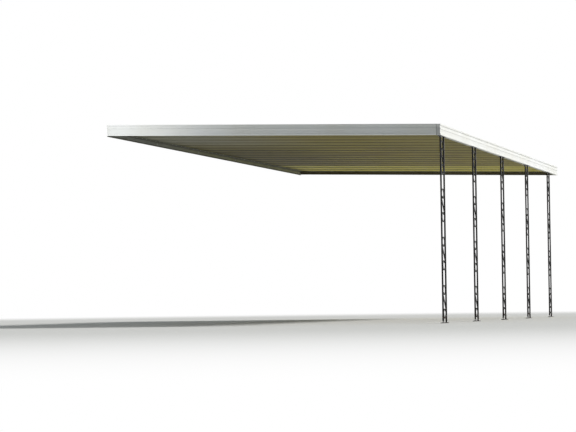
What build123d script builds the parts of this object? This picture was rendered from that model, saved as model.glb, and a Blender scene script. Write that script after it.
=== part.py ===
from build123d import *

import os
from math import atan, atan2, cos, exp, pi, radians, sin, tan

# Attached carport: a lean-to roof of interlocking sheet metal pans, hung on a
# house wall along one side and carried by five ornamental iron posts on the other.
# Millimetres. X runs out from the wall, Y along it and Z up. The origin is the
# middle of the wall hanger's flat back.
# Every roof section is drawn upright and extruded along the slope, so its ends are
# plumb. The fascias and the wall hanger are as tall as the pans inside them need.

# Roof
ROOF_WIDTH = 4200  # wall to the outer face of the gutter beam
ROOF_DROP = 135  # fall of the roof over its width
PAN_COUNT = 17
PAN_PITCH = 512
SIDE_MARGIN = 38  # outer pans to the outer faces of the side fascias
PAN_SHEET = 1.0
PAN_RIB = 62  # height of a pan's standing rib
RIB_GAP = 8  # between the tops of two pans' ribs
RIB_LEAN = 10  # how far a rib leans out from its foot
HOOK = 9  # width of the hook on top of a rib
HOOK_LIP = 5  # how far the cap reaches back under the hook
LOCK_GAP = 1.5  # clearance inside the interlock
PAN_LAP = 24  # how far the pans run out over the gutter's trough
SEAT_GAP = 0.2  # pans to the ledges that carry them

# Stepped face shared by the side fascias and the gutter beam. From the top down it
# has a bead, a recess, a lower bead, a flat band that takes the rest, and a lip.
FASCIA_SHEET = 1.6
FASCIA_ABOVE = 13.5  # fascia's top above the pans' caps
TOP_BEAD = 16
RECESS = 21
RECESS_DEPTH = 7
LOWER_BEAD = 11
BEAD_DEPTH = 1.5
BAND_DEPTH = 5
LIP_HEIGHT = 16
STEP_RISE = 6  # height of each sloped step
TOP_RETURN = 16
HEM = 8
BOTTOM_RETURN = 20
PAN_LEVEL = 55  # underside of the pans above the fascia's bottom edge
LEDGE_LAP = 30  # how far a ledge reaches in under the pans

# Gutter beam
GUTTER_WIDTH = 50
END_SHEET = 1.6

# Wall hanger
HANGER_SHEET = 2.5
HANGER_REACH = 58  # legs above and below the pans
HANGER_LIP = 14
HANGER_ABOVE = 5  # hanger's top above the fascias' top
HANGER_BELOW = 12  # hanger's bottom below the fascias' bottom
BUTT_GAP = 0.5  # where one roof member meets the side of another
LAG_COUNT = 6
LAG_INSET = 125  # first and last hole from the roof's ends
LAG_HOLE = 9
LAG_LEVEL = 33  # row of holes above the hanger's lower edge

# Posts
POST_COUNT = 5
FIRST_POST = 190  # near end of the roof to the middle of the first post
LAST_POST = 770  # far end of the roof to the middle of the last post
CLEARANCE = 2220  # floor to the bottom of the gutter beam
POST_WIDTH = 200  # over both uprights
UPRIGHT = 19  # square tube
TUBE_WALL = 1.6
PLATE_LENGTH = 284
PLATE_WIDTH = 48
PLATE_THICK = 6
PLATE_HOLE = 11
PLATE_HOLE_SPACING = 250

# Scrollwork between the uprights
SCROLL_COUNT = 4
SCROLL_PITCH = 572
BAR_WIDTH = 10
BAR_DEPTH = 12
SPINE_TILT = 39  # degrees from plumb
CURL_PINCH = 0.108  # share of a curl's radius that each radian of turn takes off
CURL_SWEEP = 310  # degrees from the tube that a curl touches to its tip
CURL_STEPS = 26
SPACER_HEIGHT = 36
WELD_FLAT = 0.5  # how much of a curl's side is flattened on its tube
WELD_GAP = 0.2  # scrollwork to the uprights

slope = atan2(ROOF_DROP, ROOF_WIDTH)
down_slope = (cos(slope), 0, -sin(slope))
roof_length = PAN_COUNT * PAN_PITCH + 2 * SIDE_MARGIN
near_end = -roof_length / 2
pan_height = PAN_RIB + LOCK_GAP + PAN_SHEET
fascia_height = PAN_LEVEL + pan_height + FASCIA_ABOVE
hanger_height = HANGER_BELOW + fascia_height + HANGER_ABOVE
hanger_bottom = -hanger_height / 2
fascia_bottom = hanger_bottom + HANGER_BELOW
gutter_inner = ROOF_WIDTH - GUTTER_WIDTH


def fall(x):
    """Drop of the roof at a distance x from the wall."""
    return x * tan(slope)


def sloped(run):
    """Length along the slope that covers a level run."""
    return run / cos(slope)


def pan_underside(x):
    """Level of the pans' underside at a distance x from the wall."""
    return fascia_bottom + PAN_LEVEL - fall(x)


def ledge_top(x):
    """Level of the ledges that carry the pans at a distance x from the wall."""
    return pan_underside(x) - SEAT_GAP


def folded(path, sheet):
    """Outline of folded sheet metal: one face as a path, with the metal on its left."""
    points = [Vector(*point) for point in path]
    runs = [(end - start).normalized() for start, end in zip(points, points[1:])]
    normals = [run.rotate(Axis.Z, 90) for run in runs]
    back = []
    for point, a, b in zip(points, normals[:1] + normals, normals + normals[-1:]):
        back.append(point + (a + b) * (sheet / (1 + a.dot(b))))
    return points + back[::-1]


gutter_bottom = fascia_bottom - fall(ROOF_WIDTH)
floor_level = gutter_bottom - CLEARANCE

# Front of a fascia from its bottom edge up, as depth from the face and height
recess_top = fascia_height - TOP_BEAD - STEP_RISE
bead_top = recess_top - RECESS - STEP_RISE
band_top = bead_top - LOWER_BEAD - STEP_RISE
stepped_face = [
    (0, 0),
    (0, LIP_HEIGHT),
    (BAND_DEPTH, LIP_HEIGHT + STEP_RISE),
    (BAND_DEPTH, band_top),
    (BEAD_DEPTH, band_top + STEP_RISE),
    (BEAD_DEPTH, bead_top),
    (RECESS_DEPTH, bead_top + STEP_RISE),
    (RECESS_DEPTH, recess_top),
    (0, recess_top + STEP_RISE),
    (0, fascia_height),
]
top_return = [(TOP_RETURN, fascia_height), (TOP_RETURN, fascia_height - HEM)]

os.makedirs("parts", exist_ok=True)

# Wall hanger: a flat web on the wall, with a leg under the pans, a leg over them
# and a lip along its lower edge
clear_length = roof_length - 2 * (RECESS_DEPTH + FASCIA_SHEET + BUTT_GAP)
lag_pitch = (roof_length - 2 * LAG_INSET) / (LAG_COUNT - 1)
under_leg = ledge_top(0) - HANGER_SHEET
over_leg = pan_underside(0) + pan_height + SEAT_GAP

with BuildPart() as wall_hanger:
    with BuildSketch(Plane.XZ):
        with Locations((0, hanger_bottom)):
            Rectangle(HANGER_SHEET, hanger_height, align=Align.MIN)
            Rectangle(HANGER_LIP, HANGER_SHEET, align=Align.MIN)
        for level in (under_leg, over_leg):
            Polygon(
                (0, level),
                (HANGER_REACH, level - fall(HANGER_REACH)),
                (HANGER_REACH, level - fall(HANGER_REACH) + HANGER_SHEET),
                (0, level + HANGER_SHEET),
                align=None,
            )
    extrude(amount=clear_length / 2, both=True)
    with BuildSketch(Plane.YZ):
        with Locations((0, hanger_bottom + LAG_LEVEL)):
            with GridLocations(lag_pitch, 1, LAG_COUNT, 1):
                Circle(LAG_HOLE / 2)
    extrude(amount=HANGER_SHEET, mode=Mode.SUBTRACT)

wall_hanger.part.label = "wall_hanger"
export_step(wall_hanger.part, "parts/wall_hanger.step")

# Roof pans: trays with standing ribs. The hook on one pan's rib sits inside the
# cap that the next pan folds over it.
pan_start = HANGER_SHEET + BUTT_GAP
pan_run = gutter_inner + PAN_LAP - pan_start
cap_reach = RIB_GAP + HOOK + LOCK_GAP
cap_drop = PAN_SHEET + 2 * LOCK_GAP

for number in range(PAN_COUNT):
    left = near_end + SIDE_MARGIN + number * PAN_PITCH + RIB_GAP / 2
    right = left + PAN_PITCH - RIB_GAP
    floor = pan_underside(pan_start)
    hook_top = floor + PAN_RIB
    cap_under = hook_top + LOCK_GAP
    name = f"roof_pan_{number + 1:02d}"
    with BuildPart() as roof_pan:
        with BuildSketch(Plane.YZ.offset(pan_start)):
            tray = [
                (left + HOOK, hook_top),
                (left, hook_top),
                (left + RIB_LEAN, floor),
                (right - RIB_LEAN, floor),
                (right, cap_under),
                (right + cap_reach, cap_under),
                (right + cap_reach, cap_under - cap_drop),
                (right + cap_reach - HOOK_LIP, cap_under - cap_drop),
            ]
            Polygon(*folded(tray, PAN_SHEET), align=None)
        extrude(amount=sloped(pan_run), dir=down_slope)
    roof_pan.part.label = name
    export_step(roof_pan.part, f"parts/{name}.step")

# Side fascias: a folded face with a ledge under the outer pan's edge. The folds
# and the ledge are coped round the hanger's legs and the gutter beam's ledge.
cope = HANGER_REACH + BUTT_GAP
fold_run = gutter_inner - BUTT_GAP - cope
ledge_run = fold_run - LEDGE_LAP


def in_section(points, x):
    """Points of the near fascia's section, as depth and height, from the top down."""
    return [(near_end + depth, fascia_bottom - fall(x) + up) for depth, up in points[::-1]]


with BuildPart() as near_fascia:
    with BuildSketch(Plane.YZ.offset(BUTT_GAP)):
        Polygon(*folded(in_section(stepped_face, BUTT_GAP), FASCIA_SHEET), align=None)
    extrude(amount=sloped(cope - BUTT_GAP), dir=down_slope)
    with BuildSketch(Plane.YZ.offset(cope)):
        face = in_section([(BOTTOM_RETURN, 0)] + stepped_face + top_return, cope)
        Polygon(*folded(face, FASCIA_SHEET), align=None)
    extrude(amount=sloped(fold_run), dir=down_slope)
    with BuildSketch(Plane.YZ.offset(cope)):
        with Locations((near_end + BAND_DEPTH, ledge_top(cope))):
            ledge_reach = SIDE_MARGIN + LEDGE_LAP - BAND_DEPTH
            Rectangle(ledge_reach, FASCIA_SHEET, align=(Align.MIN, Align.MAX))
    extrude(amount=sloped(ledge_run), dir=down_slope)

near_fascia.part.label = "near_fascia"
export_step(near_fascia.part, "parts/near_fascia.step")

with BuildPart() as far_fascia:
    mirror(near_fascia.part, about=Plane.XZ)

far_fascia.part.label = "far_fascia"
export_step(far_fascia.part, "parts/far_fascia.step")

# Gutter beam: the stepped face, folded into a trough whose inner wall carries the
# pans on a ledge. The ledge stops at the side fascias.
ledge_root = gutter_inner + FASCIA_SHEET
ledge_tip = gutter_inner - LEDGE_LAP


def in_beam(points):
    """Points of the beam's section, given as depth and height, as X and Z."""
    return [(ROOF_WIDTH - depth, gutter_bottom + up) for depth, up in points]


with BuildPart() as gutter_beam:
    with BuildSketch(Plane.XZ):
        wall_top = (gutter_inner, ledge_top(gutter_inner) - FASCIA_SHEET)
        trough = [wall_top, (gutter_inner, gutter_bottom)]
        trough += in_beam(stepped_face + top_return)
        Polygon(*folded(trough, FASCIA_SHEET), align=None)
    extrude(amount=roof_length / 2 - END_SHEET, both=True)
    with BuildSketch(Plane.XZ):
        Polygon(
            (ledge_tip, ledge_top(ledge_tip) - FASCIA_SHEET),
            (ledge_root, ledge_top(ledge_root) - FASCIA_SHEET),
            (ledge_root, ledge_top(ledge_root)),
            (ledge_tip, ledge_top(ledge_tip)),
            align=None,
        )
    extrude(amount=clear_length / 2, both=True)

gutter_beam.part.label = "gutter_beam"
export_step(gutter_beam.part, "parts/gutter_beam.step")

with BuildPart() as near_gutter_end:
    with BuildSketch(Plane.XZ.offset(-near_end)):
        end_outline = [(GUTTER_WIDTH, 0)] + stepped_face + [(GUTTER_WIDTH, fascia_height)]
        Polygon(*in_beam(end_outline), align=None)
    extrude(amount=-END_SHEET)

near_gutter_end.part.label = "near_gutter_end"
export_step(near_gutter_end.part, "parts/near_gutter_end.step")

with BuildPart() as far_gutter_end:
    mirror(near_gutter_end.part, about=Plane.XZ)

far_gutter_end.part.label = "far_gutter_end"
export_step(far_gutter_end.part, "parts/far_gutter_end.step")

# Posts: flat ornamental columns in line with the gutter beam. Each has two square
# tubes between a base plate and a top plate, and a row of S scrolls between the
# tubes. A scroll's slanting spine runs on into a curl at each end, a spiral that
# tightens evenly. Each curl touches one tube and is tied to the other by a spacer.
post_x = ROOF_WIDTH - GUTTER_WIDTH / 2
post_pitch = (roof_length - FIRST_POST - LAST_POST) / (POST_COUNT - 1)
tube_length = CLEARANCE - 2 * PLATE_THICK
tube_foot = floor_level + PLATE_THICK
clear_half = POST_WIDTH / 2 - UPRIGHT - WELD_GAP
spine_tilt = radians(SPINE_TILT)
curl_lean = atan(CURL_PINCH)  # by which a curl's tangent falls behind a circle's
side_radius = (clear_half + WELD_FLAT - BAR_WIDTH / 2) / cos(curl_lean)
spine_radius = side_radius * exp(CURL_PINCH * spine_tilt)
spine_turn = spine_tilt + curl_lean
curl_rise = spine_radius * (sin(spine_turn) + cos(spine_turn) / tan(spine_tilt))


def on_curl(turn, offset):
    """Point beside the upper curl's middle line, seen from the middle of its scroll.

    The turn is in degrees, from the side that touches the tube towards the tip.
    """
    radius = side_radius * exp(-CURL_PINCH * radians(turn)) + offset
    heading = pi + curl_lean - radians(turn)
    return Vector(radius * cos(heading), curl_rise + radius * sin(heading))


# The lower curl is the upper one turned half round the middle of the scroll
turn_step = (SPINE_TILT + CURL_SWEEP) / CURL_STEPS
turns = [step * turn_step - SPINE_TILT for step in range(CURL_STEPS + 1)]
outer_side = [on_curl(turn, BAR_WIDTH / 2) for turn in turns]
inner_side = [on_curl(turn, -BAR_WIDTH / 2) for turn in turns[::-1]]
long_side = inner_side + [-point for point in outer_side]
scroll_outline = long_side + [-point for point in long_side]
spacer_root = on_curl(180, 0)
spacer_length = clear_half - spacer_root.X


for number in range(POST_COUNT):
    post = f"post_{number + 1}"
    middle = near_end + FIRST_POST + number * post_pitch
    with BuildPart() as base_plate:
        with BuildSketch(Plane((post_x, middle, floor_level))):
            Rectangle(PLATE_WIDTH, PLATE_LENGTH)
            with GridLocations(1, PLATE_HOLE_SPACING, 1, 2):
                Circle(PLATE_HOLE / 2, mode=Mode.SUBTRACT)
        extrude(amount=PLATE_THICK)
    base_plate.part.label = f"{post}_base_plate"
    export_step(base_plate.part, f"parts/{post}_base_plate.step")

    with BuildPart() as top_plate:
        with BuildSketch(Plane((post_x, middle, gutter_bottom))):
            Rectangle(PLATE_WIDTH, PLATE_LENGTH)
        extrude(amount=-PLATE_THICK)
    top_plate.part.label = f"{post}_top_plate"
    export_step(top_plate.part, f"parts/{post}_top_plate.step")

    with BuildPart() as uprights:
        with BuildSketch(Plane((post_x, middle, tube_foot))):
            with GridLocations(1, POST_WIDTH - UPRIGHT, 1, 2):
                Rectangle(UPRIGHT, UPRIGHT)
                Rectangle(UPRIGHT - 2 * TUBE_WALL, UPRIGHT - 2 * TUBE_WALL, mode=Mode.SUBTRACT)
        extrude(amount=tube_length)
    uprights.part.label = f"{post}_uprights"
    export_step(uprights.part, f"parts/{post}_uprights.step")

    with BuildPart() as scrollwork:
        with BuildSketch(Plane.YZ.offset(post_x)):
            with Locations((middle, tube_foot + tube_length / 2)):
                with GridLocations(1, SCROLL_PITCH, 1, SCROLL_COUNT):
                    Polygon(*scroll_outline, align=None)
                    with Locations(spacer_root):
                        Rectangle(spacer_length, SPACER_HEIGHT, align=(Align.MIN, Align.CENTER))
                    with Locations(-spacer_root):
                        Rectangle(spacer_length, SPACER_HEIGHT, align=(Align.MAX, Align.CENTER))
                Rectangle(2 * clear_half, tube_length, mode=Mode.INTERSECT)
        extrude(amount=BAR_DEPTH / 2, both=True)
    scrollwork.part.label = f"{post}_scrollwork"
    export_step(scrollwork.part, f"parts/{post}_scrollwork.step")
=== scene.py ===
from math import atan, ceil, cos, exp, pi, radians, sin, tan

import bmesh
import bpy
from mathutils import Matrix, Vector


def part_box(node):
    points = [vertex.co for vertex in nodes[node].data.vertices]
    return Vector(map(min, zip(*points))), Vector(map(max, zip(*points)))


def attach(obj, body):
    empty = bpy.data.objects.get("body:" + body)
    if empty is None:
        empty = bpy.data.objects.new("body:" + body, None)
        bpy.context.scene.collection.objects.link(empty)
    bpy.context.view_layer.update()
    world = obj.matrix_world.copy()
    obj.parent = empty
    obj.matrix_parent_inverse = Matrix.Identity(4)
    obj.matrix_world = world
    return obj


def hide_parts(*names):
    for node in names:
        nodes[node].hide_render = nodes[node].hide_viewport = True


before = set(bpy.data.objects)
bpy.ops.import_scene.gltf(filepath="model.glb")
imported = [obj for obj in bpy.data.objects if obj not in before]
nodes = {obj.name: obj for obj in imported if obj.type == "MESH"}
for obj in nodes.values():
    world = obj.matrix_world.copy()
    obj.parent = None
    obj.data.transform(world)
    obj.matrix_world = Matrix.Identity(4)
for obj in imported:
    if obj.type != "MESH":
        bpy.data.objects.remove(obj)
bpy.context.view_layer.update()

# Attached carport: a white sheet metal roof on five ornamental iron posts. Metres,
# with X out from the wall, Y along it and Z up.

# Photo's view
PHOTO_WIDTH = 576
LENS_PIXELS = 2138
SENSOR_WIDTH = 36
CAMERA_PLACE = (9.445, -29.071, -2.171)
CAMERA_YAW = 16.117
CAMERA_PITCH = 2.365
CAMERA_ROLL = -0.761
VIEW_REACH = 300

# Posts, as in the part
SCROLL_COUNT = 4
SCROLL_PITCH = 0.572
BAR_WIDTH = 0.010
BAR_DEPTH = 0.012
SPINE_TILT = radians(39)
CURL_PINCH = 0.108
SPACER_HEIGHT = 0.036
WELD_FLAT = 0.0005
WELD_GAP = 0.0002
UPRIGHT = 0.019
ANCHOR_SPACING = 0.250

# Finish of the posts
CURL_SWEEP = radians(340)  # the drawn-out tip runs on past the solid's
CURL_STEP = radians(5)
TIP_TAPER = radians(80)
TIP_WIDTH = 0.55  # as a share of the bar's
TIP_END = 0.6  # its very end, as a share of that again
BAR_CORNER = 0.0025
BAR_FLAT = 0.0004  # what a corner leaves of half a thin tip's width
COLLAR_LENGTH = 0.009
COLLAR_THICK = 0.0025
COLLAR_CORNER = 0.002
WELD_LENGTH = 0.026
WELD_RADIUS = 0.0024
WELD_RIPPLE = 0.0018
BEAD_SIDES = 8
BEAD_ENDS = (0.04, 0.96)  # shares of its length between which it swells
BAR_WELD_SINK = 0.001  # middle of a bar's weld, in from its faces
TUBE_WELD_IN = 0.0008  # middle of a tube's weld, in from the tube's sides
TUBE_WELD_OFF = 0.0012  # and off the plate
UPRIGHT_CORNER = 0.003
WASHER = (0.0105, 0), (0.0105, 0.0018), (0.0098, 0.0021)  # radius and height
NUT = (0.0094, 0.0021), (0.0098, 0.003), (0.0098, 0.0095), (0.0090, 0.0104)
THREAD_CREST = 0.0048  # radius
THREAD_ROOT = 0.0043
THREAD_PITCH = 0.0016
THREAD_TURNS = 5
STUD_END = (0.0040, 0.0192)

# Roof, as in the part
ROOF_WIDTH = 4.2
ROOF_DROP = 0.135
GUTTER_WIDTH = 0.05
HANGER_SHEET = 0.0025
FASCIA_ABOVE_LEG = 0.0108  # fascia's top above the hanger's upper leg, at the wall
LEG_SPREAD = 0.0699  # from the top of that leg down to the bottom of the lower one
LEDGE_BOTTOM = 0.0098  # below the origin, at the wall
CAP_WIDTH = 0.0185
LAG_COUNT = 6
LAG_INSET = 0.125
LAG_LEVEL = 0.033

# Roof fixings. A screw is its width across the flats and its washer's radius. Each point
# of its two profiles is a share of the radius, and a height.
SCREW_WASHER = (1, 0), (1, 0.0008), (0.85, 0.0014)
SCREW_HEAD = (1, 0.001), (1, 0.0042), (0.9, 0.0049), (0.55, 0.0050)
PLATE_SCREW = (0.008, 0.007)
PLATE_SCREW_PLACE = (0.010, 0.128)  # from the middle of the top plate
FASCIA_SCREW = (0.0063, 0.0058)
FASCIA_SCREWS = 14
FASCIA_SCREW_START = 0.12  # from the wall
FASCIA_SCREW_END = 0.18  # from the roof's outer edge
FASCIA_SCREW_SINK = 0.007  # in from the fascia's outermost face
FASCIA_SCREW_DROP = 0.032
PAN_SCREW = (0.0079, 0.0072)
PAN_SCREW_SHARES = (0.2, 0.5, 0.8)  # across a pan
LEG_SCREWS = 0.042  # out from the wall
LEDGE_SCREWS = 0.065  # in from the roof's outer edge
LAG_WASHER = (0.0125, 0), (0.0125, 0.0016), (0.0115, 0.002)
LAG_HEAD = (0.0075, 0.004), (0.0079, 0.0045), (0.0079, 0.0085), (0.007, 0.0095)
SEALANT_RUNS = 8
SEALANT_RADIUS = 0.005
SEALANT_RIPPLE = 0.03
SEALANT_INSET = 0.03  # its ends, in from the roof's
SEALANT_OFF_WALL = 0.0075
SEALANT_LIFT = 0.0005  # its middle above the hanger's upper leg

# Where dirt, wear, painted highlights and painted shade run from none to full, out from
# the wall if nothing else is said. A height is counted from a plane that falls with the roof
# from the origin.
END_HEM = (-0.050, -0.054)  # heights of the painted highlight on the hem
UNDER_PANS = (0.002, -0.010)  # heights
NEAR_WALL = (0.13, 0.10)
GUTTER_START = (4.148, 4.152)
GUTTER_INSIDE = (4.10, 4.15)
GUTTER_FACE = (4.178, 4.186)
GUTTER_JOINT = (0.005, 0.001)  # to either side of it
GUTTER_END_GREYING = (0.045, 0.015)  # heights
END_FACES = (4.368, 4.376)  # along the wall, either way from the middle
END_INSIDES = (-1.6, -3.4)  # the same, below 0 on faces that look back at the middle
SOOT_AND_SHADE_GREENER = (-3.6, 0.5)  # along the wall
WEB_EDGE = (0.020, 0.008)  # in from the edges of the hanger's web, where shade is painted nearly black
LEAF_DIRT = (3.5, ROOF_WIDTH)
GROUND_RUST = 0.30  # how far the rust climbs

# The same on the pans' underside: out from the wall, and along it
WALL_SHADE = (2.4, 0.4), (-2.2, -0.4)
# Painted light: the underside greyer and brighter towards its near end, as lit by open sky
SKYLIT_CORNER = (2.7, 0.5), (-0.8, -2.6)
DULL_CORNER = (2.4, 3.6), (1.0, -1.0)
FAR_BAYS = (-0.2, 0.4), (2.84, 2.88)
CLEAR_CORNER = (2.2, 0.6), (-0.6, -2.4)
SEAMS_FAINTER = (2.8, 3.8)
SEAMS_DARKER = (-3.8, -1.2)  # along the wall
DAMP_BAYS = (-2.5, 0), (2.8, 2.5)  # both along the wall
SEAM_EDGES = (0.27, 0.43)  # from a pan's middle, as a share of its width

# Stage and light
FLOOR_SIZE = 140
FLOOR_DROP = 0.001
FLOOR_COLOUR = (0.62, 0.62, 0.61)
FLOOR_FADE = (9, 24)
SUN_STRENGTH = 3.3
SUN_ANGLE = 14
SUN_COLOUR = (1.0, 0.985, 0.96)
SUN_DIRECTION = (-1.0, -0.30, -0.85)
SOFTBOX_POWER = 12.5
SOFTBOX_SIZE = 0.9
SOFTBOX_DISTANCE = 1.3
SOFTBOX_HEIGHT = 0.05
SOFTBOX_DIRECTION = (0.05, 1.0, -0.05)
SKY_COLOUR = (0.85, 0.96, 0.98, 1)
SKY_STRENGTH = 0.22

pan_names = sorted(name for name in nodes if name.startswith("roof_pan"))
post_names = sorted({name[:6] for name in nodes if name.startswith("post_")})
first_pan_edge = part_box(pan_names[0])[0][1]
pan_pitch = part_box(pan_names[1])[0][1] - first_pan_edge
floor_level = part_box("post_1_base_plate")[0][2]
near_low, near_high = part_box("near_fascia")
hanger_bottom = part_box("wall_hanger")[0][2]
fall = ROOF_DROP / ROOF_WIDTH
leg_top = near_high[2] - FASCIA_ABOVE_LEG
leg_bottom = leg_top - LEG_SPREAD


# Materials

class Shader:
    """A material's node tree, with short calls for the nodes that it needs."""

    def __init__(self, name):
        self.material = bpy.data.materials.new(name)
        self.material.use_nodes = True
        self.tree = self.material.node_tree
        self.surface = self.tree.nodes["Principled BSDF"]
        self.place = self.add("ShaderNodeTexCoord").outputs["Object"]
        self.normal = self.add("ShaderNodeNewGeometry").outputs["Normal"]

    def add(self, kind, **settings):
        made = self.tree.nodes.new(kind)
        for key, value in settings.items():
            setattr(made, key, value)
        return made

    def feed(self, socket, value):
        if isinstance(value, bpy.types.NodeSocket):
            self.tree.links.new(value, socket)
        elif isinstance(value, tuple) and len(value) == 3 and socket.type == "RGBA":
            socket.default_value = (*value, 1)
        else:
            socket.default_value = value

    def math(self, operation, *values):
        made = self.add("ShaderNodeMath", operation=operation)
        for socket, value in zip(made.inputs, values):
            self.feed(socket, value)
        return made.outputs[0]

    def times(self, *values):
        product = values[0]
        for value in values[1:]:
            product = self.math("MULTIPLY", product, value)
        return product

    def plus(self, a, b):
        return self.math("ADD", a, b)

    def minus(self, a, b):
        return self.math("SUBTRACT", a, b)

    def larger(self, a, b):
        return self.math("MAXIMUM", a, b)

    def absolute(self, a):
        return self.math("ABSOLUTE", a)

    def stretched(self, scale, shift=(0, 0, 0)):
        made = self.add("ShaderNodeMapping")
        self.feed(made.inputs["Vector"], self.place)
        made.inputs["Scale"].default_value = scale
        made.inputs["Location"].default_value = shift
        return made.outputs[0]

    def noise(self, scale, detail=4, roughness=0.55, vector=None):
        made = self.add("ShaderNodeTexNoise")
        self.feed(made.inputs["Vector"], vector or self.place)
        made.inputs["Scale"].default_value = scale
        made.inputs["Detail"].default_value = detail
        made.inputs["Roughness"].default_value = roughness
        return made.outputs[0]

    def step(self, value, low, high, out_low=0, out_high=1):
        """A smooth ramp from low to high, which may run downwards."""
        made = self.add("ShaderNodeMapRange", interpolation_type="SMOOTHSTEP")
        for socket, number in zip(made.inputs, (value, low, high, out_low, out_high)):
            self.feed(socket, number)
        return made.outputs[0]

    def mix(self, share, a, b):
        made = self.add("ShaderNodeMix", data_type="RGBA")
        self.feed(made.inputs[0], share)
        self.feed(made.inputs[6], a)
        self.feed(made.inputs[7], b)
        return made.outputs[2]

    def split(self, vector):
        made = self.add("ShaderNodeSeparateXYZ")
        self.feed(made.inputs[0], vector)
        return made.outputs

    def bump(self, height, distance, normal=None):
        made = self.add("ShaderNodeBump")
        self.feed(made.inputs["Height"], height)
        made.inputs["Distance"].default_value = distance
        if normal:
            self.feed(made.inputs["Normal"], normal)
        return made.outputs[0]

    def finish(self, colour, roughness, normal=None, **fixed):
        """Feeds the shader. What is fixed is the same all over, set on its own socket."""
        self.feed(self.surface.inputs["Base Color"], colour)
        self.feed(self.surface.inputs["Roughness"], roughness)
        if normal:
            self.feed(self.surface.inputs["Normal"], normal)
        for key, value in fixed.items():
            self.feed(self.surface.inputs[key.replace("_", " ")], value)
        return self.material


def trim_enamel(name, gloss):
    """White enamel on folded aluminium, chalked and rain-streaked, with painted shade inside.
    """
    s = Shader(name)
    x, y, z = s.split(s.place)
    facing_x, facing_y, up = s.split(s.normal)
    chalk = s.noise(1.3, 5)
    colour = s.mix(s.step(chalk, 0.35, 0.7), (0.80, 0.81, 0.81), (0.76, 0.76, 0.73))
    streaks = s.noise(1, 6, 0.65, s.stretched((26, 26, 2.2)))
    patches = s.noise(2.6, 3)
    streaked = s.times(s.step(streaks, 0.54, 0.74), s.step(patches, 0.45, 0.65))
    colour = s.mix(s.times(streaked, 0.22), colour, (0.42, 0.41, 0.35))

    # Painted highlight: the end fascias' hem whiter, as lit from below; and the grey ends of
    # the gutter
    height = s.plus(z, s.times(x, fall))
    facing_end = s.step(s.absolute(facing_y), 0.5, 0.8)
    # Painted highlight along the hem
    lit_hem = s.times(s.step(height, *END_HEM), facing_end)
    colour = s.mix(s.times(lit_hem, 0.9), colour, (0.94, 0.95, 0.94))
    end_face = s.step(s.absolute(y), *END_FACES)
    at_ends = s.times(facing_end, end_face)
    greyed_end = s.times(s.step(x, *GUTTER_START), s.step(height, *GUTTER_END_GREYING, 0.35, 1))
    colour = s.mix(s.times(at_ends, greyed_end, 0.62), colour, (0.40, 0.40, 0.41))
    joint = s.step(s.absolute(s.minus(x, ROOF_WIDTH - GUTTER_WIDTH)), *GUTTER_JOINT)
    colour = s.mix(s.times(at_ends, joint, 0.8), colour, (0.14, 0.14, 0.13))

    # Dust and specks
    dust = s.times(s.step(up, 0.6, 0.98), s.step(s.noise(9, 5), 0.3, 0.65))
    colour = s.mix(s.times(dust, 0.4), colour, (0.40, 0.38, 0.31))
    specks = s.step(s.noise(210, 2), 0.72, 0.79)
    colour = s.mix(s.times(specks, 0.4), colour, (0.25, 0.24, 0.19))

    # Painted shade, tinted olive, on the faces that look inwards, below the pans
    under_pans = s.step(height, *UNDER_PANS)
    to_middle = s.times(s.step(s.times(facing_y, y), *END_INSIDES), s.step(up, 0.5, 0.1))
    to_wall = s.times(s.step(facing_x, -0.3, -0.8), s.step(x, *GUTTER_INSIDE))
    shade_patches = s.step(s.noise(1.2, 6, 0.6), 0.25, 0.75, 0.94, 1)
    olive_tone = s.mix(s.noise(2.5, 6), (0.066, 0.054, 0.016), (0.090, 0.074, 0.026))
    # Painted shade on the inward faces, patchy
    colour = s.mix(s.times(s.larger(to_middle, to_wall), shade_patches, under_pans), colour, olive_tone)

    # Soot and painted shade on the hanger: greener towards its far end, with painted shade
    # nearly black along the web's edges
    greener = s.step(y, *SOOT_AND_SHADE_GREENER)
    dark_soot_and_shade = s.mix(greener, (0.150, 0.153, 0.135), (0.185, 0.180, 0.070))
    pale_soot_and_shade = s.mix(greener, (0.210, 0.212, 0.190), (0.245, 0.240, 0.095))
    soot_and_shade = s.mix(s.step(s.noise(3, 6, 0.65), 0.3, 0.7), dark_soot_and_shade, pale_soot_and_shade)
    web_middle = (hanger_bottom + leg_bottom) / 2
    web_half = (leg_bottom - hanger_bottom) / 2
    from_middle = s.absolute(s.minus(z, web_middle))
    edges = s.step(from_middle, *(web_half - inset for inset in WEB_EDGE))
    # Painted shade: nearly black along the web's top and bottom edges
    soot_and_shade = s.mix(s.times(edges, 0.85), soot_and_shade, (0.050, 0.046, 0.026))
    by_wall = s.times(s.step(x, *NEAR_WALL), s.step(up, 0.3, -0.1), under_pans)
    covered = s.times(s.step(facing_y, -0.7, -0.3), s.step(facing_x, -0.8, -0.4))
    colour = s.mix(s.times(by_wall, covered), colour, soot_and_shade)

    # Darker grey-green on the faces that look down, left off the gutter's outer face and the
    # end faces
    below = s.times(s.step(up, -0.5, -0.9), s.step(s.noise(3, 5), 0.2, 0.7, 0.45, 0.8))
    left_clean = s.larger(s.step(x, *GUTTER_FACE), end_face)
    colour = s.mix(s.times(below, s.minus(1, left_clean)), colour, (0.30, 0.31, 0.24))

    roughness = s.step(chalk, 0.3, 0.7, 0.34, 0.52)
    waves = s.bump(s.noise(1.1, 1), 0.004)
    peel = s.bump(s.noise(420, 2), 0.00012, waves)
    return s.finish(colour, roughness, peel, IOR=1.45, Specular_IOR_Level=gloss)


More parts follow.
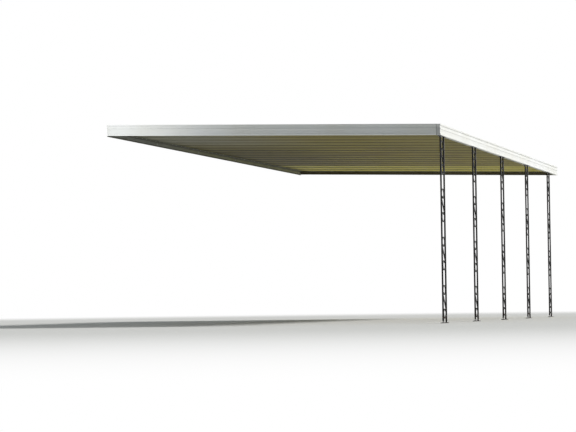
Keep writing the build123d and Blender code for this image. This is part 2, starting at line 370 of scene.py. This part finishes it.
def roof_sheet():
    """Enamelled pans: weathered white above, and below painted shade tinted a dull olive."""
    s = Shader("roof_sheet")
    x, y = s.split(s.place)[:2]
    side, up = s.split(s.normal)[1:]
    pan = s.math("FRACT", s.math("DIVIDE", s.minus(y, first_pan_edge), pan_pitch))
    across = s.minus(pan, 0.5)

    def patch(out_from_wall, along_wall):
        return s.times(s.step(x, *out_from_wall), s.step(y, *along_wall))

    # Above: chalk, silt in runs down the slope, leaf dirt by the gutter and moss
    chalk = s.noise(1.8, 5)
    above = s.mix(s.step(chalk, 0.35, 0.7), (0.76, 0.77, 0.76), (0.66, 0.66, 0.61))
    runs = s.noise(1, 4, 0.5, s.stretched((0.5, 9, 9)))
    silt = s.times(s.step(runs, 0.42, 0.75), s.step(x, 0, ROOF_WIDTH, 0.15, 1))
    above = s.mix(s.times(silt, 0.4), above, (0.36, 0.35, 0.28))
    settled = s.times(s.step(x, *LEAF_DIRT), s.step(s.noise(4, 6, 0.65), 0.4, 0.62))
    above = s.mix(s.times(settled, 0.5), above, (0.24, 0.23, 0.16))
    moss = s.step(s.noise(7, 7, 0.7), 0.63, 0.75)
    above = s.mix(s.times(moss, 0.5), above, (0.15, 0.17, 0.09))

    # Below, by place: painted shade tinted olive, deeper by the wall, painted light greyer
    # and brighter at its near end, duller by the gutter and brighter in the far bays
    olive_tone = s.noise(0.9, 5)
    # Painted shade, tinted olive, all over the underside
    below = s.mix(s.step(olive_tone, 0.3, 0.7), (0.325, 0.266, 0.056), (0.284, 0.241, 0.054))
    below = s.mix(s.times(patch(*WALL_SHADE), 0.62), below, (0.110, 0.095, 0.050))
    below = s.mix(s.times(patch(*SKYLIT_CORNER), 0.92), below, (0.352, 0.340, 0.272))
    below = s.mix(s.times(patch(*DULL_CORNER), 0.22), below, (0.110, 0.100, 0.045))
    below = s.mix(s.times(patch(*FAR_BAYS), 0.9), below, (0.61, 0.545, 0.110))

    # Below, all over: brushed dirt, damp in the middle bays, drips, and dark seams that are
    # partly dirt and partly painted shade in the grooves
    brush = s.noise(1, 5, 0.6, s.stretched((0.9, 14, 14)))
    below = s.mix(s.step(brush, 0.42, 0.75, 0, 0.45), below, (0.19, 0.155, 0.065))
    damp = s.step(s.noise(1, 4, 0.6, s.stretched((1.1, 2.4, 2.4), (3, 7, 1))), 0.52, 0.66)
    damp_bays = s.times(*(s.step(y, *fade) for fade in DAMP_BAYS))
    below = s.mix(s.times(damp, damp_bays, 0.45), below, (0.130, 0.092, 0.052))
    drips = s.step(s.noise(16, 6, 0.65), 0.62, 0.75)
    below = s.mix(s.times(drips, 0.35), below, (0.14, 0.12, 0.06))
    # Dark seams: partly dirt, partly painted shade in the grooves
    seam = s.step(s.absolute(across), *SEAM_EDGES)
    faint = s.plus(s.times(patch(*CLEAR_CORNER), 0.5), s.step(x, *SEAMS_FAINTER, 0, 0.4))
    shown = s.minus(s.step(y, *SEAMS_DARKER, 0.5, 0.85), faint)
    below = s.mix(s.times(seam, shown), below, (0.045, 0.036, 0.014))

    colour = s.mix(s.step(up, -0.5, 0.1), below, above)
    # Painted shade: the rib sides inside the grooves nearly black
    painted_rib_shade = s.step(s.times(side, across), 0.2, 0.4)
    colour = s.mix(painted_rib_shade, colour, (0.035, 0.032, 0.020))
    roughness = s.step(up, -0.5, 0.1, 0.62, 0.46)
    waves = s.bump(s.noise(1, 2, 0.5, s.stretched((0.8, 3, 3))), 0.003)
    grain = s.bump(s.noise(300, 3), 0.00015, waves)
    return s.finish(colour, roughness, grain, IOR=1.45, Specular_IOR_Level=0.15)


def iron_paint():
    """Gloss black paint on iron: brushed on, dusty above and rusting near the ground."""
    s = Shader("iron_paint")
    z = s.split(s.place)[2]
    up = s.split(s.normal)[2]
    tone = s.noise(14, 4)
    colour = s.mix(s.step(tone, 0.35, 0.7), (0.0030, 0.0032, 0.0028), (0.0075, 0.0075, 0.0062))
    dust = s.times(s.step(up, 0.3, 0.95), s.step(s.noise(60, 4), 0.35, 0.7))
    colour = s.mix(s.times(dust, 0.35), colour, (0.13, 0.12, 0.09))
    low = s.step(z, floor_level + GROUND_RUST, floor_level, 0, 0.13)
    spots = s.plus(s.noise(48, 6, 0.7), low)
    rust = s.step(spots, 0.665, 0.72)
    rust_colour = s.mix(s.noise(130, 3), (0.13, 0.040, 0.014), (0.045, 0.018, 0.010))
    colour = s.mix(rust, colour, rust_colour)
    roughness = s.plus(s.step(tone, 0.3, 0.7, 0.16, 0.30), s.times(rust, 0.5))
    brushed = s.bump(s.noise(1, 3, 0.5, s.stretched((240, 240, 30))), 0.0003)
    blister = s.bump(s.step(spots, 0.61, 0.72), 0.0006, brushed)
    return s.finish(colour, roughness, blister, IOR=1.45, Specular_IOR_Level=0.2)


def zinc():
    """Dull zinc of bolts and nuts, with white bloom and brown rust."""
    s = Shader("zinc")
    tone = s.noise(160, 4)
    colour = s.mix(s.step(tone, 0.3, 0.7), (0.42, 0.43, 0.44), (0.58, 0.58, 0.57))
    rust = s.step(s.noise(220, 5, 0.7), 0.52, 0.66)
    colour = s.mix(s.times(rust, 0.8), colour, (0.16, 0.065, 0.025))
    metal = s.step(rust, 0, 1, 0.85, 0.1)
    s.feed(s.surface.inputs["Metallic"], metal)
    roughness = s.step(tone, 0.3, 0.7, 0.38, 0.6)
    return s.finish(colour, roughness, s.bump(s.noise(700, 3), 0.0001))


def sealant():
    """Grey-white sealant, smeared and dusty."""
    s = Shader("sealant")
    tone = s.noise(40, 5)
    colour = s.mix(s.step(tone, 0.3, 0.7), (0.50, 0.50, 0.47), (0.30, 0.29, 0.25))
    return s.finish(colour, 0.55, s.bump(s.noise(120, 4), 0.0012))


TRIM = trim_enamel("trim_enamel", 0.25)
DUSTY_TRIM = trim_enamel("dusty_enamel", 0.03)
SHEET = roof_sheet()
IRON = iron_paint()
ZINC = zinc()
SEALANT = sealant()

for name, node in nodes.items():
    node.data.materials.clear()
    if name.startswith("roof_pan"):
        node.data.materials.append(SHEET)
    elif name.startswith("post_"):
        node.data.materials.append(IRON)
    elif name == "wall_hanger":
        node.data.materials.append(DUSTY_TRIM)
    else:
        node.data.materials.append(TRIM)


# Mesh building

def make_piece(name, bm, material, smooth):
    """Turns a mesh in frame coordinates into a piece that rides on the carport, shaded
    smooth across edges of up to so many degrees."""
    bmesh.ops.recalc_face_normals(bm, faces=bm.faces)
    mesh = bpy.data.meshes.new(name)
    bm.to_mesh(mesh)
    bm.free()
    for face in mesh.polygons:
        face.use_smooth = True
    mesh.set_sharp_from_angle(angle=radians(smooth))
    mesh.materials.append(material)
    made = bpy.data.objects.new(name, mesh)
    bpy.context.collection.objects.link(made)
    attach(made, "root")
    return made


def join_rings(bm, rings):
    """Faces between neighbouring rings of vertices, with the ends filled."""
    for low, high in zip(rings, rings[1:]):
        for i in range(len(low)):
            j = (i + 1) % len(low)
            bm.faces.new((low[i], low[j], high[j], high[i]))
    bm.faces.new(rings[0][::-1])
    bm.faces.new(rings[-1])


def round_rectangle(width, depth, corner, steps=3):
    """Points of a rectangle with round corners, centred on the origin."""
    points = []
    for quarter in range(4):
        middle = quarter * pi / 2 + pi / 4
        across = (width / 2 - corner) * (1 if cos(middle) > 0 else -1)
        along = (depth / 2 - corner) * (1 if sin(middle) > 0 else -1)
        for step in range(steps + 1):
            angle = quarter * pi / 2 + step / steps * pi / 2
            points.append((across + corner * cos(angle), along + corner * sin(angle)))
    return points


def flat_bar(bm, path, x, widths, depth, corner):
    """A bar of round-cornered section along a path of (y, z) points in the plane at x."""
    rings = []
    for i, (y, z) in enumerate(path):
        before = Vector(path[max(i - 1, 0)])
        after = Vector(path[min(i + 1, len(path) - 1)])
        ahead = (after - before).normalized()
        across = Vector((ahead.y, -ahead.x))
        width = widths if isinstance(widths, float) else widths[i]
        ring = []
        for a, b in round_rectangle(width, depth, min(corner, width / 2 - BAR_FLAT)):
            point = Vector((y, z)) + across * a
            ring.append(bm.verts.new((x + b, point.x, point.y)))
        rings.append(ring)
    join_rings(bm, rings)


def turned(bm, place, axis, profile, sides):
    """A turned or many-sided solid from (radius, height) pairs along an axis."""
    turn = Vector((0, 0, 1)).rotation_difference(Vector(axis)).to_matrix()
    rings = []
    for radius, height in profile:
        ring = []
        for k in range(sides):
            angle = 2 * pi * k / sides
            point = Vector((radius * cos(angle), radius * sin(angle), height))
            ring.append(bm.verts.new(Vector(place) + turn @ point))
        rings.append(ring)
    join_rings(bm, rings)


def hex_screw(bm, place, axis, across, washer):
    """A hexagon-headed screw with its flanged washer, seen from outside."""
    corner = across / 2 / cos(pi / 6)
    for radius, shares, sides in ((washer, SCREW_WASHER, 20), (corner, SCREW_HEAD, 6)):
        profile = [(radius * share, height) for share, height in shares]
        turned(bm, place, axis, profile, sides)


# Posts

def on_curl(turn, side_radius, rise):
    """Point on the upper curl's middle line, from the middle of its scroll."""
    radius = side_radius * exp(-CURL_PINCH * turn)
    heading = pi + atan(CURL_PINCH) - turn
    return Vector((radius * cos(heading), rise + radius * sin(heading)))


def scroll_path(half):
    """Middle line of an S scroll from tip to tip, and a width for each of its points."""
    lean = atan(CURL_PINCH)
    side_radius = (half + WELD_FLAT - BAR_WIDTH / 2) / cos(lean)
    spine_radius = side_radius * exp(CURL_PINCH * SPINE_TILT)
    spine_turn = SPINE_TILT + lean
    rise = spine_radius * (sin(spine_turn) + cos(spine_turn) / tan(SPINE_TILT))
    steps = ceil((CURL_SWEEP + SPINE_TILT) / CURL_STEP)
    turns = [CURL_SWEEP - (CURL_SWEEP + SPINE_TILT) * k / steps for k in range(steps + 1)]
    curl = [on_curl(turn, side_radius, rise) for turn in turns]
    widths = []
    for turn in turns:
        drawn = min(1, (CURL_SWEEP - turn) / TIP_TAPER)
        widths.append(BAR_WIDTH * (TIP_WIDTH + (1 - TIP_WIDTH) * drawn))
    widths[0] *= TIP_END
    sides = on_curl(0, side_radius, rise), on_curl(pi, side_radius, rise)
    return curl + [-point for point in curl[::-1]], widths + widths[::-1], sides


def bead(bm, start, end, radius, seed, ripple_length=WELD_RIPPLE):
    """A bead of weld metal or sealant between two points, laid in short ripples."""
    start, end = Vector(start), Vector(end)
    ahead = (end - start).normalized()
    turn = Vector((0, 0, 1)).rotation_difference(ahead).to_matrix()
    length = (end - start).length
    steps = max(5, int(length / ripple_length))
    rings = []
    for i in range(steps + 1):
        t = i / steps
        swell = sin(pi * min(max(t, BEAD_ENDS[0]), BEAD_ENDS[1])) ** 0.3
        ripple = 1 + 0.16 * sin(2.6 * i + seed) + 0.08 * sin(5.1 * i + 2 * seed)
        ring = []
        for k in range(BEAD_SIDES):
            angle = 2 * pi * k / BEAD_SIDES
            spread = Vector((cos(angle), sin(angle), 0)) * radius * swell * ripple
            ring.append(bm.verts.new(start + ahead * (length * t) + turn @ spread))
        rings.append(ring)
    join_rings(bm, rings)


for post in post_names:
    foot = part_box(f"{post}_base_plate")[1][2]
    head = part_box(f"{post}_top_plate")[0][2]
    low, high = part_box(f"{post}_scrollwork")
    x = (low[0] + high[0]) / 2
    middle = (low[1] + high[1]) / 2
    half = (high[1] - low[1]) / 2
    path, widths, (touch_side, far_side) = scroll_path(half)
    centres = []
    for k in range(SCROLL_COUNT):
        centres.append((foot + head) / 2 + (k - (SCROLL_COUNT - 1) / 2) * SCROLL_PITCH)

    bm = bmesh.new()
    for z in centres:
        centre = Vector((middle, z))
        flat_bar(bm, [centre + point for point in path], x, widths, BAR_DEPTH, BAR_CORNER)
        for side in (-1, 1):
            on_tube = Vector((middle + side * half, z + side * far_side.y))
            spacer = [centre + side * far_side, on_tube]
            flat_bar(bm, spacer, x, SPACER_HEIGHT, BAR_DEPTH, BAR_CORNER)
    for vertex in bm.verts:
        vertex.co.y = min(max(vertex.co.y, middle - half), middle + half)
    scrolls = make_piece(f"{post}_bent_bars", bm, IRON, smooth=50)
    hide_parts(f"{post}_scrollwork")

    bm = bmesh.new()
    section = round_rectangle(UPRIGHT, UPRIGHT, UPRIGHT_CORNER, 4)
    for side in (-1, 1):
        tube_y = middle + side * (half + WELD_GAP + UPRIGHT / 2)
        rings = []
        for z in (foot, head):
            rings.append([bm.verts.new((x + a, tube_y + b, z)) for a, b in section])
        join_rings(bm, rings)
    tubes = make_piece(f"{post}_square_tubes", bm, IRON, smooth=30)
    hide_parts(f"{post}_uprights")

    bm = bmesh.new()
    height, depth = SPACER_HEIGHT + 2 * COLLAR_THICK, BAR_DEPTH + 2 * COLLAR_THICK
    collar_middle = (far_side.x + BAR_WIDTH / 2 + half) / 2
    for z in centres:
        for side in (-1, 1):
            ends = []
            for end in (-1, 1):
                y = middle + side * (collar_middle + end * COLLAR_LENGTH / 2)
                ends.append((y, z + side * far_side.y))
            flat_bar(bm, ends, x, height, depth, COLLAR_CORNER)
    make_piece(f"{post}_collars", bm, IRON, smooth=40)

    bm = bmesh.new()
    for z in centres:
        for side in (-1, 1):
            inside = middle + side * (half - BAR_WELD_SINK)
            levels = z + side * far_side.y, z - side * touch_side.y
            for face in (-1, 1):
                weld_x = x + face * (BAR_DEPTH / 2 - BAR_WELD_SINK)
                for level in levels:
                    start = (weld_x, inside, level - WELD_LENGTH / 2)
                    end = (weld_x, inside, level + WELD_LENGTH / 2)
                    bead(bm, start, end, WELD_RADIUS, level)
    for side in (-1, 1):
        near = middle + side * (half + WELD_GAP + TUBE_WELD_IN)
        far = middle + side * (half + WELD_GAP + UPRIGHT - TUBE_WELD_IN)
        left, right = x - UPRIGHT / 2, x + UPRIGHT / 2
        for z in (foot + TUBE_WELD_OFF, head - TUBE_WELD_OFF):
            bead(bm, (left, near, z), (left, far, z), WELD_RADIUS, seed=1)
            bead(bm, (right, near, z), (right, far, z), WELD_RADIUS, seed=2)
            bead(bm, (left, near, z), (right, near, z), WELD_RADIUS, seed=3)
            bead(bm, (left, far, z), (right, far, z), WELD_RADIUS, seed=4)
    make_piece(f"{post}_welds", bm, IRON, smooth=60)

    bm = bmesh.new()
    for side in (-1, 1):
        place = (x, middle + side * ANCHOR_SPACING / 2, foot)
        turned(bm, place, (0, 0, 1), WASHER, sides=28)
        turned(bm, place, (0, 0, 1), NUT, sides=6)
        stud = []
        for k in range(THREAD_TURNS):
            crest = NUT[-1][1] + k * THREAD_PITCH
            stud += [(THREAD_CREST, crest), (THREAD_ROOT, crest + THREAD_PITCH / 2)]
        turned(bm, place, (0, 0, 1), stud + [STUD_END], sides=18)
    make_piece(f"{post}_anchor_nuts", bm, ZINC, smooth=30)

    bm = bmesh.new()
    for side in (-1, 1):
        for offset in (-PLATE_SCREW_PLACE[0], PLATE_SCREW_PLACE[0]):
            place = (x + offset, middle + side * PLATE_SCREW_PLACE[1], head)
            hex_screw(bm, place, (0, 0, -1), *PLATE_SCREW)
    make_piece(f"{post}_plate_screws", bm, ZINC, smooth=30)


# Roof fixings

screw_row = ROOF_WIDTH - FASCIA_SCREW_START - FASCIA_SCREW_END
bm = bmesh.new()
for side in (-1, 1):
    face = -side * (near_low[1] + FASCIA_SCREW_SINK)
    for k in range(FASCIA_SCREWS):
        x = FASCIA_SCREW_START + k * screw_row / (FASCIA_SCREWS - 1)
        place = (x, face, near_high[2] - FASCIA_SCREW_DROP - fall * x)
        hex_screw(bm, place, (0, side, 0), *FASCIA_SCREW)
make_piece("fascia_screws", bm, TRIM, smooth=30)

bm = bmesh.new()
lag_start = near_low[1] + LAG_INSET
for k in range(LAG_COUNT):
    y = lag_start - 2 * lag_start * k / (LAG_COUNT - 1)
    place = (HANGER_SHEET, y, hanger_bottom + LAG_LEVEL)
    turned(bm, place, (1, 0, 0), LAG_WASHER, sides=24)
    turned(bm, place, (1, 0, 0), LAG_HEAD, sides=6)
make_piece("hanger_lag_heads", bm, ZINC, smooth=30)

bm = bmesh.new()
sealant_start = near_low[1] + SEALANT_INSET
sealant_level = leg_top + SEALANT_LIFT
for k in range(SEALANT_RUNS):
    ends = []
    for n in (k, k + 1):
        y = sealant_start - 2 * sealant_start * n / SEALANT_RUNS
        ends.append((SEALANT_OFF_WALL, y, sealant_level))
    bead(bm, *ends, SEALANT_RADIUS, k, SEALANT_RIPPLE)
make_piece("hanger_sealant", bm, SEALANT, smooth=60)

bm = bmesh.new()
leg_drop = fall * LEG_SCREWS
ledge_x = ROOF_WIDTH - LEDGE_SCREWS
for name in pan_names:
    pan_low, pan_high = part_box(name)
    place = (LEG_SCREWS, pan_high[1] - CAP_WIDTH / 2, leg_top - leg_drop)
    hex_screw(bm, place, (0, 0, 1), *PAN_SCREW)
    for share in PAN_SCREW_SHARES:
        y = pan_low[1] + share * pan_pitch
        hex_screw(bm, (LEG_SCREWS, y, leg_bottom - leg_drop), (0, 0, -1), *PAN_SCREW)
        place = (ledge_x, y, -LEDGE_BOTTOM - fall * ledge_x)
        hex_screw(bm, place, (0, 0, -1), *PAN_SCREW)
make_piece("pan_screws", bm, TRIM, smooth=30)


# Stage

def plain_floor():
    """A pale floor that keeps the shadow and fades to white a long way off."""
    s = Shader("floor")
    x, y = s.split(s.place)[:2]
    far = s.math("SQRT", s.plus(s.times(x, x), s.times(y, y)))
    away = s.step(far, *FLOOR_FADE)
    s.feed(s.surface.inputs["Base Color"], FLOOR_COLOUR)
    s.surface.inputs["Roughness"].default_value = 0.9
    glow = s.add("ShaderNodeEmission")
    glow.inputs["Color"].default_value = (1, 1, 1, 1)
    shown = s.times(away, s.add("ShaderNodeLightPath").outputs["Is Camera Ray"])
    blend = s.add("ShaderNodeMixShader")
    s.feed(blend.inputs[0], shown)
    s.feed(blend.inputs[1], s.surface.outputs[0])
    s.feed(blend.inputs[2], glow.outputs[0])
    s.feed(s.tree.nodes["Material Output"].inputs["Surface"], blend.outputs[0])
    return s.material


bpy.ops.mesh.primitive_plane_add(size=FLOOR_SIZE, location=(0, 0, floor_level - FLOOR_DROP))
floor = bpy.context.object
floor.name = "studio_floor"
floor.data.materials.append(plain_floor())


# Light

def add_light(name, kind, power, direction):
    """A light that shines in a direction."""
    light = bpy.data.objects.new(name, bpy.data.lights.new(name, kind))
    light.data.energy = power
    light.rotation_euler = Vector(direction).to_track_quat("-Z", "Y").to_euler()
    bpy.context.collection.objects.link(light)
    return light


sun = add_light("key_light", "SUN", SUN_STRENGTH, SUN_DIRECTION)
sun.data.angle = radians(SUN_ANGLE)
sun.data.color = SUN_COLOUR

softbox = add_light("wall_end_softbox", "AREA", SOFTBOX_POWER, SOFTBOX_DIRECTION)
softbox.data.shape = "DISK"
softbox.data.size = SOFTBOX_SIZE
softbox.location = (near_low[0], near_low[1] - SOFTBOX_DISTANCE, SOFTBOX_HEIGHT)
softbox.visible_camera = False

# The sky lights the object, and the camera, gloss and glass see white instead
world = bpy.data.worlds.new("studio")
world.use_nodes = True
bpy.context.scene.world = world
sky_nodes, links = world.node_tree.nodes, world.node_tree.links
sky = sky_nodes["Background"]
sky.inputs["Color"].default_value = SKY_COLOUR
sky.inputs["Strength"].default_value = SKY_STRENGTH
white = sky_nodes.new("ShaderNodeBackground")
white.inputs["Color"].default_value = (1, 1, 1, 1)
white.inputs["Strength"].default_value = 1
rays = sky_nodes.new("ShaderNodeLightPath")
seen = rays.outputs["Is Camera Ray"]
for kind in ("Is Glossy Ray", "Is Transmission Ray"):
    either = sky_nodes.new("ShaderNodeMath")
    either.operation = "MAXIMUM"
    links.new(seen, either.inputs[0])
    links.new(rays.outputs[kind], either.inputs[1])
    seen = either.outputs[0]
backdrop = sky_nodes.new("ShaderNodeMixShader")
for socket, source in zip(backdrop.inputs, (seen, sky.outputs[0], white.outputs[0])):
    links.new(source, socket)
links.new(backdrop.outputs[0], sky_nodes["World Output"].inputs["Surface"])


# Camera

yaw, pitch, roll = radians(CAMERA_YAW), radians(CAMERA_PITCH), radians(CAMERA_ROLL)
forward = Vector((-sin(yaw) * cos(pitch), cos(yaw) * cos(pitch), sin(pitch)))
level = Vector((cos(yaw), sin(yaw), 0))
upright = level.cross(forward)
right = level * cos(roll) + upright * sin(roll)
above = -level * sin(roll) + upright * cos(roll)
camera = bpy.data.objects.new("photo_view", bpy.data.cameras.new("photo_view"))
camera.data.sensor_width = SENSOR_WIDTH
camera.data.lens = LENS_PIXELS / PHOTO_WIDTH * SENSOR_WIDTH
camera.data.clip_end = VIEW_REACH
turn = Matrix((right, above, -forward)).transposed()
camera.matrix_world = Matrix.Translation(CAMERA_PLACE) @ turn.to_4x4()
bpy.context.collection.objects.link(camera)
bpy.context.scene.camera = camera

bpy.context.scene.view_settings.view_transform = "Standard"
